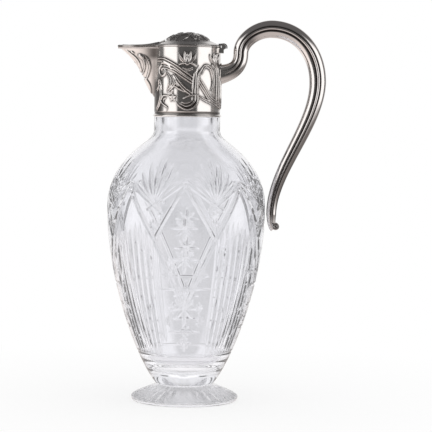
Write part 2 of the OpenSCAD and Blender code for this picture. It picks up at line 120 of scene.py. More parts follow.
def bezier(points, t):
    """Points of a cubic curve at the parameters t."""
    p = np.array(points, float)
    t = np.asarray(t, float)[:, None]
    u = 1 - t
    return u ** 3 * p[0] + 3 * u ** 2 * t * p[1] + 3 * u * t * t * p[2] + t ** 3 * p[3]


def curve(points, steps):
    return bezier(points, np.linspace(0, 1, steps + 1))


def smooth_path(points, per_step=12):
    """A smooth line through given points."""
    p = np.array(points, float)
    p = np.vstack([2 * p[0] - p[1], p, 2 * p[-1] - p[-2]])
    t = np.linspace(0, 1, per_step, endpoint=False)[:, None]
    parts = []
    for a, b, c, d in zip(p[:-3], p[1:-2], p[2:-1], p[3:]):
        parts.append(b + t * (c - a) / 2 + t * t * (a - 2.5 * b + 2 * c - d / 2)
                     + t ** 3 * (1.5 * (b - c) + (d - a) / 2))
    return np.vstack(parts + [p[-2:-1]])


def run_along(line):
    """How far each point lies along a line."""
    return np.r_[0, np.cumsum(np.linalg.norm(np.diff(line, axis=0), axis=1))]


def resample(line, spacing):
    """The same line with even steps."""
    run = run_along(line)
    at = np.linspace(0, run[-1], max(2, int(round(run[-1] / spacing)) + 1))
    return np.column_stack([np.interp(at, run, line[:, k]) for k in range(line.shape[1])])


def all_round(columns):
    """The azimuths of a grid's columns, evenly spaced round the axis."""
    return np.arange(columns)[None, :] * 360 / columns


def around(radius, azimuth, z):
    """Points at a radius, azimuth in degrees and height."""
    angle = np.radians(azimuth)
    radius, angle, z = np.broadcast_arrays(radius, angle, z)
    return np.stack([radius * np.sin(angle), -radius * np.cos(angle), z], -1)


def blur(grid, reach):
    """A soft copy of a grid, with its columns joined end to end."""
    half = 3 * reach
    kernel = np.exp(-0.5 * (np.arange(-half, half + 1) / reach) ** 2)
    kernel /= kernel.sum()
    wide = np.concatenate([grid[:, -half:], grid, grid[:, :half]], 1)
    soft = sum(k * wide[:, i:i + grid.shape[1]] for i, k in enumerate(kernel))
    tall = np.pad(soft, ((half, half), (0, 0)), "edge")
    return sum(k * tall[i:i + grid.shape[0]] for i, k in enumerate(kernel))


def grid_faces(index):
    """Four-sided faces between the neighbours in a grid of point numbers."""
    corners = [index[:-1, :-1], index[:-1, 1:], index[1:, 1:], index[1:, :-1]]
    return np.stack(corners, -1).reshape(-1, 4).tolist()


def add_object(name, data):
    thing = bpy.data.objects.new(name, data)
    scene.collection.objects.link(thing)
    return thing


def make_piece(name, node, body, material, points, wrap_rows=False, fans=(), values=None):
    """A piece that takes a CAD node's place, from a grid of points in millimetres that closes sideways.

    fans lists the rows (0 or -1) that a middle point closes. values gives each point named numbers.
    """
    rows, columns = points.shape[:2]
    index = np.arange(rows * columns).reshape(rows, columns)
    index = np.concatenate([index, index[:, :1]], 1)
    if wrap_rows:
        index = np.concatenate([index, index[:1]], 0)
    faces = grid_faces(index)
    verts = points.reshape(-1, 3)
    for row in fans:
        middle = len(verts)
        verts = np.vstack([verts, points[row].mean(0)])
        ring = index[row]
        pairs = zip(ring[1:], ring[:-1]) if row == 0 else zip(ring[:-1], ring[1:])
        faces += [(int(a), int(b), middle) for a, b in pairs]
    mesh = bpy.data.meshes.new(name)
    mesh.from_pydata((verts * MM).tolist(), [], faces)
    mesh.validate()
    mesh.shade_smooth()
    for key, grid in (values or {}).items():
        layer = mesh.attributes.new(key, "FLOAT", "POINT")
        flat = np.zeros(len(verts))
        flat[: rows * columns] = grid.reshape(-1)
        layer.data.foreach_set("value", flat)
    piece = add_object(name, mesh)
    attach(piece, body)
    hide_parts(node)
    mesh.materials.append(material)


# Camera


def make_camera():
    data = bpy.data.cameras.new("camera")
    camera = add_object("camera", data)
    camera.location = Vector(CAMERA_AT) * MM
    look = Vector(CAMERA_AIM) - Vector(CAMERA_AT)
    turn = look.to_track_quat("-Z", "Y").to_matrix().to_4x4()
    turn = turn @ Matrix.Rotation(math.radians(CAMERA_ROLL), 4, "Z")
    camera.rotation_euler = turn.to_euler()
    data.lens = CAMERA_FOCAL
    data.sensor_width = 36
    data.clip_end = 100
    scene.camera = camera


# Shader nodes


def coordinates(tree, kind):
    return tree.nodes.new("ShaderNodeTexCoord").outputs[kind]


def split_xyz(tree, vector):
    node = tree.nodes.new("ShaderNodeSeparateXYZ")
    tree.links.new(vector, node.inputs[0])
    return node.outputs


def noise(tree, scale, detail=4.0):
    node = tree.nodes.new("ShaderNodeTexNoise")
    node.inputs["Scale"].default_value = scale
    node.inputs["Detail"].default_value = detail
    tree.links.new(coordinates(tree, "Object"), node.inputs["Vector"])
    return node.outputs["Fac"]


def attribute(tree, name):
    """The number that make_piece gave each point under this name."""
    node = tree.nodes.new("ShaderNodeAttribute")
    node.attribute_name = name
    return node.outputs["Fac"]


def ranged(tree, value, low, high, start=0.0, end=1.0):
    """A value that goes from low to high while the given one goes from start to end."""
    node = tree.nodes.new("ShaderNodeMapRange")
    node.inputs["From Min"].default_value = start
    node.inputs["From Max"].default_value = end
    node.inputs["To Min"].default_value = low
    node.inputs["To Max"].default_value = high
    tree.links.new(value, node.inputs["Value"])
    return node.outputs["Result"]


def math_node(tree, operation, *values):
    node = tree.nodes.new("ShaderNodeMath")
    node.operation = operation
    for socket, value in zip(node.inputs, values):
        if isinstance(value, (int, float)):
            socket.default_value = value
        else:
            tree.links.new(value, socket)
    return node.outputs[0]


def ramp_node(tree, value, stops, tint):
    """A tinted ramp over stops of (place from 0 to 1, level)."""
    node = tree.nodes.new("ShaderNodeValToRGB")
    ramp = node.color_ramp
    while len(ramp.elements) < len(stops):
        ramp.elements.new(0.5)
    for element, (place, _) in zip(ramp.elements, stops):
        element.position = place
    for element, (place, level) in zip(ramp.elements, stops):
        element.color = (*(level * part for part in tint), 1)
    tree.links.new(value, node.inputs[0])
    return node.outputs[0]


def mix_colours(tree, factor, a, b):
    """From colour a at factor 0 to colour b at factor 1. Each is a socket or three numbers."""
    node = tree.nodes.new("ShaderNodeMix")
    node.data_type = "RGBA"
    for name, value in (("Factor", factor), ("A", a), ("B", b)):
        if isinstance(value, tuple):
            node.inputs[name].default_value = (*value, 1)
        else:
            tree.links.new(value, node.inputs[name])
    return node.outputs["Result"]


def bumped(tree, shader, height, distance, strength=1.0):
    node = tree.nodes.new("ShaderNodeBump")
    node.inputs["Distance"].default_value = distance
    node.inputs["Strength"].default_value = strength
    tree.links.new(height, node.inputs["Height"])
    tree.links.new(node.outputs["Normal"], shader.inputs["Normal"])


# Materials


GLASS_IOR = 1.54
GLASS_TINT = (0.77, 0.77, 0.785)
# A faint glow, for the light that long paths inside the cut glass would bring
GLASS_GLOW = 0.03
GLASS_GLOW_TINT = (0.98, 0.98, 1.0)
# Least and most roughness of the polish, and of the foot's worn underside
POLISH = (0.0, 0.03)
WORN = (0.28, 0.5)
OXIDE_ROUGHNESS = 0.3   # what a full oxide_and_shade value adds to a metal's roughness
DENTS = 0.00002         # depth of the dents in metal, in metres


def new_material(name):
    material = bpy.data.materials.new(name)
    material.use_nodes = True
    tree = material.node_tree
    tree.nodes.clear()
    output = tree.nodes.new("ShaderNodeOutputMaterial")
    shader = tree.nodes.new("ShaderNodeBsdfPrincipled")
    tree.links.new(shader.outputs[0], output.inputs[0])
    return material, tree, shader


def metal(name, colour, dark, roughness, oxide_and_shade=False):
    """Plated metal: faint wear in its gloss, and a dark colour where the oxide_and_shade value is high,
    for oxide in hollows and for painted shade.
    """
    material, tree, shader = new_material(name)
    shader.inputs["Metallic"].default_value = 1
    rough = ranged(tree, noise(tree, 90), roughness * 0.7, roughness * 1.4, 0.35, 0.65)
    if oxide_and_shade:
        factor = attribute(tree, "oxide_and_shade")
        rough = math_node(tree, "ADD", rough, ranged(tree, factor, 0, OXIDE_ROUGHNESS))
    else:
        factor = ranged(tree, noise(tree, 260, 6), 0, 0.25, 0.55, 0.75)
    tree.links.new(mix_colours(tree, factor, colour, dark), shader.inputs["Base Color"])
    tree.links.new(rough, shader.inputs["Roughness"])
    bumped(tree, shader, noise(tree, 140, 3), DENTS, 0.35)
    return material


def glass_material():
    material, tree, shader = new_material("cut glass")
    shader.inputs["Transmission Weight"].default_value = 1
    shader.inputs["IOR"].default_value = GLASS_IOR
    shader.inputs["Base Color"].default_value = (*GLASS_TINT, 1)
    shader.inputs["Emission Color"].default_value = (*GLASS_GLOW_TINT, 1)
    shader.inputs["Emission Strength"].default_value = GLASS_GLOW
    gloss = ranged(tree, noise(tree, 60), *POLISH, 0.4, 0.7)
    frost = math_node(tree, "MULTIPLY", attribute(tree, "worn"), ranged(tree, noise(tree, 110), *WORN))
    tree.links.new(math_node(tree, "MAXIMUM", gloss, frost), shader.inputs["Roughness"])
    bumped(tree, shader, noise(tree, 45, 2), 0.0002, 0.1)
    return material


def plaster_material():
    material, tree, shader = new_material("plaster")
    colour = mix_colours(tree, noise(tree, 300), (0.72, 0.70, 0.66), (0.86, 0.84, 0.80))
    tree.links.new(colour, shader.inputs["Base Color"])
    shader.inputs["Roughness"].default_value = 0.9
    bumped(tree, shader, noise(tree, 500), 0.0002)
    return material


# Metals that several pieces share: colour, colour of the oxide and painted shade, roughness
chased = metal("chased silver", (0.80, 0.775, 0.755), (0.045, 0.037, 0.033), 0.13, oxide_and_shade=True)
embossed = metal("embossed silver", (0.62, 0.61, 0.60), (0.04, 0.035, 0.03), 0.2, oxide_and_shade=True)
cast = metal("handle silver", (0.80, 0.77, 0.755), (0.05, 0.042, 0.04), 0.11, oxide_and_shade=True)
plate = metal("silver plate", (0.80, 0.78, 0.76), (0.25, 0.22, 0.2), 0.12)
# Plate for the spout's wire: rougher, and darker as painted shade along the spout's rim
dulled_shaded = metal("dulled plate", (0.50, 0.455, 0.435), (0.2, 0.17, 0.16), 0.35)
gilt = metal("gilt lining", (0.86, 0.68, 0.38), (0.5, 0.36, 0.18), 0.2)
steel = metal("pin steel", (0.55, 0.55, 0.56), (0.2, 0.2, 0.2), 0.3)


# Stage


WHITE = (1.0, 1.0, 1.0)
# Level of light that metal reflects from each azimuth: 0 at the camera and 180 behind the jug
REFLECTED = [(0, 0.10), (34, 0.11), (38, 1.35), (88, 1.35),
             (94, 0.17), (138, 0.28), (148, 0.9), (180, 0.95)]
REFLECTED_TINT = (1, 0.98, 0.97)
CEILING = (0.13, 0.125, 0.125)
CEILING_FROM = (0.46, 0.62)     # how far up a direction points, from 0 level to 1 upright
# The same as it comes through the glass: the white backdrop, with brighter and dark strips between,
# which repeat every THROUGH_STEP degrees
THROUGH_STEP = 90
THROUGH = [(0, 1.0), (3, 1.0), (5, 1.3), (10.8, 1.4), (13, 1.12),
           (16.2, 1.1), (17.5, 0.12), (25, 0.12), (28, 0.9), (45, 0.95)]
# Above them the strips end in a brighter panel, and below them they go on along the floor
THROUGH_HIGH = [(0, 1.38), (4, 1.38), (7, 1.0), (45, 0.97)]
THROUGH_LOW = [(0, 0.93), (3, 0.93), (5, 1.35), (11, 1.35), (14, 1.0), (45, 0.95)]
THROUGH_TINT = (0.985, 0.985, 1)
BACKDROP = (1.0, 1.0, 1.02)
BACKDROP_TOP = (0.8, 0.8, 0.82)
DIFFUSE_LIGHT = (0.85, 0.85, 0.85)
# The floor as metal reflects it, over PAPER_HALF metres to the left and right: it is lit from the left,
# and dim where it ends on the right
PAPER_HALF = 0.4
PAPER = [(0.1, 1.15), (0.42, 0.68), (0.72, 0.58), (0.86, 0.2)]
PAPER_TINT = (1, 0.91, 0.87)
WALLS_FROM = (0.6, 1.1)         # further out, in metres, it reflects as the walls
# The floor under the jug as it comes through the glass
PAPER_UNDER = (1.2, 1.19, 1.2)
UNDER_TO = (0.12, 0.16)
# How matt it is, the share of glow in it near the jug, and where that becomes the whole
PAPER_MATT = (0.92, 0.92, 0.92)
GLOW_NEAR = 0.78
SHADOW_TO = (0.06, 0.35)


def turned_away(tree, x, y):
    """How far a direction turns from the camera's side: 0 towards it, 1 away from it."""
    angle = math_node(tree, "ARCTAN2", x, math_node(tree, "MULTIPLY", y, -1))
    return math_node(tree, "DIVIDE", math_node(tree, "ABSOLUTE", angle), math.pi)


def reflected_walls(tree, turn):
    return ramp_node(tree, turn, [(a / 180, level) for a, level in REFLECTED], REFLECTED_TINT)


def strips_at(tree, turn, stops):
    """The strips seen through the glass."""
    fold = math_node(tree, "PINGPONG", math_node(tree, "MULTIPLY", turn, 180), THROUGH_STEP / 2)
    fold = math_node(tree, "DIVIDE", fold, THROUGH_STEP / 2)
    return ramp_node(tree, fold, [(a * 2 / THROUGH_STEP, level) for a, level in stops], THROUGH_TINT)


def studio_world():
    """White behind the jug. Metal reflects tall softboxes, dark gaps, a bright wall and a ceiling."""
    world = bpy.data.worlds.new("studio")
    scene.world = world
    world.use_nodes = True
    tree = world.node_tree
    tree.nodes.clear()
    x, y, z = split_xyz(tree, coordinates(tree, "Generated"))
    turn = turned_away(tree, x, y)
    walls = reflected_walls(tree, turn)
    reflected = mix_colours(tree, ranged(tree, z, 0, 1, *CEILING_FROM), walls, CEILING)
    through = strips_at(tree, turn, THROUGH)
    # What follows above the strips, and the heights between which it takes over
    for start, end, shown in ((0.1, 0.15, strips_at(tree, turn, THROUGH_HIGH)),
                              (0.24, 0.32, BACKDROP), (0.62, 0.9, BACKDROP_TOP)):
        through = mix_colours(tree, ranged(tree, z, 0, 1, start, end), through, shown)
    rays = tree.nodes.new("ShaderNodeLightPath").outputs
    colour = mix_colours(tree, rays["Is Transmission Ray"], reflected, through)
    colour = mix_colours(tree, rays["Is Diffuse Ray"], colour, DIFFUSE_LIGHT)
    colour = mix_colours(tree, rays["Is Camera Ray"], colour, WHITE)
    background = tree.nodes.new("ShaderNodeBackground")
    tree.links.new(colour, background.inputs["Color"])
    output = tree.nodes.new("ShaderNodeOutputWorld")
    tree.links.new(background.outputs[0], output.inputs[0])


def floor_material():
    """White paper: it glows as the backdrop does, and near the jug it also takes its shadow.

    Metal shows it as a warm grey near the jug, and as the studio's walls further off.
    """
    material = bpy.data.materials.new("paper floor")
    material.use_nodes = True
    tree = material.node_tree
    tree.nodes.clear()
    link = tree.links.new
    rays = tree.nodes.new("ShaderNodeLightPath").outputs
    camera, glossy, through = (rays[f"Is {kind} Ray"] for kind in ("Camera", "Glossy", "Transmission"))
    glow = tree.nodes.new("ShaderNodeEmission")
    place = coordinates(tree, "Object")
    length = tree.nodes.new("ShaderNodeVectorMath")
    length.operation = "LENGTH"
    link(place, length.inputs[0])
    away = length.outputs["Value"]
    x, y, _ = split_xyz(tree, place)
    turn = turned_away(tree, x, y)
    paper = ramp_node(tree, ranged(tree, x, 0, 1, -PAPER_HALF, PAPER_HALF), PAPER, PAPER_TINT)
    shown = mix_colours(tree, ranged(tree, away, 0, 1, *WALLS_FROM), paper, reflected_walls(tree, turn))
    colour = mix_colours(tree, glossy, WHITE, shown)
    strips = strips_at(tree, turn, THROUGH_LOW)
    near = mix_colours(tree, ranged(tree, away, 0, 1, *UNDER_TO), PAPER_UNDER, strips)
    link(mix_colours(tree, through, colour, near), glow.inputs["Color"])
    matt = tree.nodes.new("ShaderNodeBsdfDiffuse")
    matt.inputs["Color"].default_value = (*PAPER_MATT, 1)
    # Near the jug the camera sees some matt paper, which takes the shadow. Metal and glass see the glow.
    share = ranged(tree, away, GLOW_NEAR, 1.0, *SHADOW_TO)
    share = math_node(tree, "MAXIMUM", math_node(tree, "MULTIPLY", share, camera),
                      math_node(tree, "MAXIMUM", glossy, through))
    both = tree.nodes.new("ShaderNodeMixShader")
    link(share, both.inputs[0])
    link(matt.outputs[0], both.inputs[1])
    link(glow.outputs[0], both.inputs[2])
    output = tree.nodes.new("ShaderNodeOutputMaterial")
    link(both.outputs[0], output.inputs[0])
    return material


def make_floor():
    half, steps = 3000, 13
    step = np.linspace(-half, half, steps)
    grid = np.stack([*np.meshgrid(step, step), np.zeros((steps, steps))], -1)
    mesh = bpy.data.meshes.new("floor")
    faces = grid_faces(np.arange(steps * steps).reshape(steps, steps))
    mesh.from_pydata((grid.reshape(-1, 3) * MM).tolist(), [], faces)
    mesh.materials.append(floor_material())
    floor = add_object("floor", mesh)
    floor.location.z = -0.0002


def make_lamp():
    """One soft lamp overhead gives the floor its shadow."""
    data = bpy.data.lights.new("overhead", "AREA")
    data.energy = 3
    data.size = 1.2
    lamp = add_object("overhead", data)
    lamp.location = (0.2, -0.5, 1.6)
    lamp.rotation_euler = (math.radians(18), 0, 0)
    lamp.visible_glossy = False
    lamp.visible_transmission = False


# Cut glass


COLUMNS = 720           # steps round the glass
ROW_H = 0.4462          # height of a row of faces where the glass is cut
RING_CUT_H = 1.0        # half the height of the ring cut
RING_CUT_DEPTH = 0.75
FLUTE_HALF = 2.45       # half a flute's width, in degrees
FLUTE_STEP = 5.2
FLUTE_DEPTH = 0.6
FLUTE_TOPS = (140, 137, 133, 128)       # from the middle of the panel outward
FOOT_RAYS = 32
FOOT_RAY_DEPTH = 1.4
# Radii at which the length of a star's or a fan's cuts is turned into degrees
STAR_AT_R = 60
FAN_AT_R = 56
# Azimuth, height, reach, and the width and depth of the cuts
STARS = ((0, 140, 10, 1.25, 1.2), (0, 116, 11, 1.3, 1.25), (0, 77.5, 13, 1.35, 1.25),
         (0, 50, 6.5, 1.0, 0.9), (12.5, 104.5, 6, 0.9, 0.8), (13.5, 68, 5, 0.8, 0.8),
         (22.5, 142, 6, 0.9, 0.9))


def vessel_outline():
    """The outside of bowl, shoulder and neck, from the waist up, in fine steps."""
    bowl = curve([[WAIST_R, WAIST_Z], [WAIST_R + 13.5, WAIST_Z + 14.4],
                  [BOWL_R, mix(WAIST_Z, BELLY_Z, 0.58)], [BOWL_R, BELLY_Z]], 400)
    shoulder = curve([[BOWL_R, BELLY_Z], [BOWL_R, mix(BELLY_Z, SHOULDER_Z, 0.46)],
                      [NECK_R + 25, SHOULDER_Z - 13.4], [NECK_R + 7, SHOULDER_Z]], 300)
    sweep = curve([[NECK_R + 7, SHOULDER_Z], [NECK_R + 3, SHOULDER_Z + 3],
                   [NECK_R, SHOULDER_Z + 5.4], [NECK_R, SHOULDER_Z + 10]], 60)
    neck = np.array([[NECK_R, MOUNT_Z]])
    return np.vstack([bowl, shoulder[1:], sweep[1:], neck])


def outward(line):
    """Unit normals of a line in the plane, pointing to its right, which is out for one that climbs."""
    d = np.gradient(line, axis=0)
    n = np.column_stack([d[:, 1], -d[:, 0]])
    return n / np.linalg.norm(n, axis=1)[:, None]


def star_cuts(azimuth, z, reach, width, depth):
    """Four crossing cuts: an eight-pointed star. Each is (azimuth, height) twice, width, depth, ends."""
    cuts = []
    for k in range(4):
        angle = math.pi * k / 4
        long = reach if k % 2 == 0 else reach * 0.82
        da = math.degrees(long * math.sin(angle) / STAR_AT_R)
        dz = long * math.cos(angle)
        cuts.append((azimuth - da, z - dz, azimuth + da, z + dz, width, depth, "lens"))
    return cuts


def bowl_cuts():
    """The cuts of one eighth: a star column at azimuth 0 and half of the fluted column at 45."""
    cuts = []
    fan_at, fan_z = 22.5, 159.5
    for angle, long in ((0, 33.5), (15, 31), (30, 26), (45, 20), (-15, 31), (-30, 26), (-45, 20)):
        a = math.radians(angle)
        tip = fan_at + math.degrees(long * 1.1 * math.sin(a) / FAN_AT_R)
        cuts.append((fan_at, fan_z, tip, fan_z + long * math.cos(a), 1.95, 1.05, "leaf"))
    for apex in (0, 45):
        side = 1 if apex == 0 else -1
        cuts.append((apex, 175, apex + side * 28, 153, 1.75, 1.0, "flat"))
        cuts.append((apex, 173, fan_at, 131, 1.65, 0.95, "flat"))
    cuts.append((22.5, 131, 0, 78, 1.6, 0.95, "flat"))
    for star in STARS:
        cuts += star_cuts(*star)
    for z, half in ((93.4, 21), (59.4, 15), (50.3, 7)):
        cuts.append((-half, z, half, z, 1.3, 1.2, "lens"))
    return cuts


def taper(t, ends):
    """A cut's width and depth along it, as a share: a lens, a leaf that is wide at its tip, or flat."""
    if ends == "lens":
        return np.sqrt(unit(1 - (2 * t - 1) ** 2))
    if ends == "leaf":
        return np.clip(t / 0.12, 0.25, 1) * np.sqrt(unit((1 - t) / 0.55))
    return np.clip(np.minimum(t, 1 - t) / 0.04, 0.35, 1)


def cut_depth(azimuth, z, radius, run, outline):
    """How deep the wheel has cut at each point. The pattern repeats and mirrors every 90 degrees."""
    def run_of(height):
        return np.interp(height, outline[:, 1], run)

    folded = np.abs((azimuth + 45) % 90 - 45)
    depth = np.zeros(np.broadcast_shapes(folded.shape, z.shape))
    here = run_of(z)
    for a0, z0, a1, z1, width, deep, ends in bowl_cuts():
        for flip in (lambda a: a, lambda a: -a, lambda a: 90 - a):
            x0 = np.radians(flip(a0) - folded) * radius
            x1 = np.radians(flip(a1) - folded) * radius
            y0 = run_of(z0) - here
            y1 = run_of(z1) - here
            dx, dy = x1 - x0, y1 - y0
            t = unit(-(x0 * dx + y0 * dy) / (dx * dx + dy * dy))
            off = np.hypot(x0 + t * dx, y0 + t * dy)
            form = taper(t, ends)
            depth = np.maximum(depth, deep * form * unit(1 - off / (width * form + 1e-6)))
    for k, top in enumerate(FLUTE_TOPS):
        end = unit((top - z) / 12) * unit((z - RING_CUT_Z - RING_CUT_H) / 6)
        off = np.abs(folded - (45 - FLUTE_STEP * (k + 0.5)))
        form = unit(1 - off / (FLUTE_HALF * np.sqrt(end) + 1e-6))
        depth = np.maximum(depth, FLUTE_DEPTH * end * form)
    ring = RING_CUT_DEPTH * unit(1 - np.abs(z - RING_CUT_Z) / RING_CUT_H)
    return np.maximum(depth, ring + 0 * folded)


def glass_body():
    """Foot, bowl and neck: the outside from the bottom up, then the inside from the top down."""
    azimuth = all_round(COLUMNS)
    line = vessel_outline()
    run = run_along(line)
    # Fine rows where the bowl is cut, coarse ones above and below
    heights = np.concatenate([np.linspace(WAIST_Z, 37.5, 26, endpoint=False),
                              np.arange(37.5, 196, ROW_H),
                              np.linspace(196.5, SHOULDER_Z + 10, 26),
                              np.linspace(MOUNT_Z - 9, MOUNT_Z - 0.3, 8),
                              [MOUNT_Z]])
    radius = np.interp(heights, line[:, 1], line[:, 0])
    normal = outward(line)
    nr = np.interp(heights, line[:, 1], normal[:, 0])[:, None]
    nz = np.interp(heights, line[:, 1], normal[:, 1])[:, None]
    depth = cut_depth(azimuth, heights[:, None], radius[:, None], run, line)
    wall = around(radius[:, None] - nr * depth, azimuth, heights[:, None] - nz * depth)

    # Foot: round rim, and rays cut into its top
    bottom = [[0.5, 0], [20, 0], [FOOT_R - 2.6, 0],
              [FOOT_R - 1.2, 0.35], [FOOT_R - 0.4, 1.2], [FOOT_R, 2.4]]
    top = curve([[FOOT_R, FOOT_RIM_H], [FOOT_R - 0.7, FOOT_RIM_H + 2.4],
                 [mix(WAIST_R, FOOT_R, 0.38), WAIST_Z - 3.9], [WAIST_R, WAIST_Z]], 40)[:-1]
    foot_line = np.vstack([bottom, top])
    phase = np.abs((azimuth * FOOT_RAYS / 360) % 1 - 0.5) * 2
    across = np.linspace(0, 1, len(top))[:, None]
    ends = unit(across / 0.12) * unit((1 - across) / 0.2)
    ray = np.zeros((len(foot_line), COLUMNS))
    ray[len(bottom):] = FOOT_RAY_DEPTH * phase * ends * mix(1, 0.5, across)
    foot = around(foot_line[:, :1], azimuth, foot_line[:, 1:] - ray)

    # Inside: the outside moved in by the wall, then the bowl's floor
    inner = line - normal * GLASS_WALL
    inner = inner[line[:, 1] > FLOOR_Z + 9]
    inner[:, 0] = np.maximum(inner[:, 0], NECK_IN_R)
    picked = np.linspace(0, len(inner) - 1, 60).astype(int)
    inner = inner[picked]
    r0 = inner[0, 0]
    floor = curve([[0.5, FLOOR_Z], [r0 * 0.55, FLOOR_Z], [r0 * 0.86, FLOOR_Z + 3], inner[0]], 14)[:-1]
    neck = np.array([[GROUND_R, MOUNT_Z], [GROUND_R, NECK_TOP_Z], [NECK_IN_R, NECK_TOP_Z]])
    inside_line = np.vstack([neck, inner[::-1], floor[::-1]])
    inside = around(inside_line[:, :1], azimuth, inside_line[:, 1:] + 0 * azimuth)
    points = np.vstack([foot, wall, inside])
    worn = np.zeros(points.shape[:2])
    worn[:4] = 1        # the flat underside, where the foot stands
    make_piece("cut_glass_body", "glass_body", "jug", glass_material(), points,
               fans=(0, -1), values={"worn": worn})


# Relief: chased stems, buds and leaves, as heights on a grid of (across, up) in millimetres


SLEEVE_WALL = 0.8


class Relief:
    """A height field that strokes and petals are raised on."""

    def __init__(self, across, up):
        self.across = across
        self.up = up
        self.height = np.zeros(across.shape)

    def stroke(self, points, half, height, ends=(0.3, 0.3), crest=0.5):
        """A rounded ridge along a smooth line through points. ends gives its width there, as a share."""
        line = resample(smooth_path(points), 0.35)
        low = line.min(0) - half - 0.5
        high = line.max(0) + half + 0.5
        rows, columns = np.where((self.across > low[0]) & (self.across < high[0])
                                 & (self.up > low[1]) & (self.up < high[1]))
        if not len(rows):
            return
        x, y = self.across[rows, columns], self.up[rows, columns]
        t = np.linspace(0, 1, len(line))
        share = unit(mix(ends[0], 1, t / 0.25)) * unit(mix(ends[1], 1, (1 - t) / 0.25))
        best = np.zeros(len(x))
        for (px, py), s in zip(line, share):
            off = np.hypot(x - px, y - py) / (half * s + 1e-6)
            best = np.maximum(best, unit(1 - off * off) ** crest * mix(0.4, 1, s))
        self.height[rows, columns] = np.maximum(self.height[rows, columns], height * best)

    def petal(self, foot, tip, half, height, bend=0.0, crease=0.35):
        """A pointed petal from foot to tip with a crease along its middle."""
        foot, tip = np.array(foot, float), np.array(tip, float)
        way = tip - foot
        long = np.hypot(*way)
        way /= long
        side = np.array([-way[1], way[0]])
        x, y = self.across - foot[0], self.up - foot[1]
        t = (x * way[0] + y * way[1]) / long
        off = x * side[0] + y * side[1] - bend * 4 * t * (1 - t)
        width = half * np.sin(np.pi * unit(t) ** 0.85) ** 0.8
        inside = (t > 0) & (t < 1) & (np.abs(off) < width)
        share = np.where(inside, off / np.maximum(width, 1e-6), 1)
        form = np.sqrt(unit(1 - share * share))
        form *= 1 - crease * np.exp(-(share / 0.22) ** 2)
        form *= unit(t * 8) ** 0.5
        self.height = np.maximum(self.height, np.where(inside, height * form, 0))

    def swirl(self, middle, start_r, end_r, start, sweep, half, height):
        """A curling stem: a spiral round middle, angles in degrees."""
        t = np.linspace(0, 1, 26)
        r = mix(start_r, end_r, t)
        a = np.radians(start + sweep * t)
        line = np.column_stack([middle[0] + r * np.cos(a), middle[1] + r * np.sin(a)])
        self.stroke(line, half, height, (1, 0.7))

    def bud(self, foot, long, height=1.2):
        """A lily bud: two open outer petals, three inner ones and a calyx."""
        x, y = foot
        # How far each tip lies to the side and up, as shares of the bud's length, and half its width
        petals = ((-0.72, 0.86, 1.5), (0.72, 0.86, 1.5), (-0.24, 1, 1.7), (0.26, 1, 1.7), (0, 0.9, 1.5))
        for share, reach, half in petals:
            tip = (x + share * long, y + long * reach)
            raised = height * (0.9 if abs(share) > 0.5 else 1.0)
            self.petal((x, y), tip, half, raised, bend=-1.6 * share, crease=0.5)
        self.petal((x - 1.6, y - 0.4), (x + 1.6, y - 0.4), 1.1, height * 0.9, crease=0)

    def dark(self, reach=4, gain=2.2):
        """Oxide left in the hollows beside what is raised."""
        wide = blur(self.height, reach)
        return unit((wide - self.height) * gain)


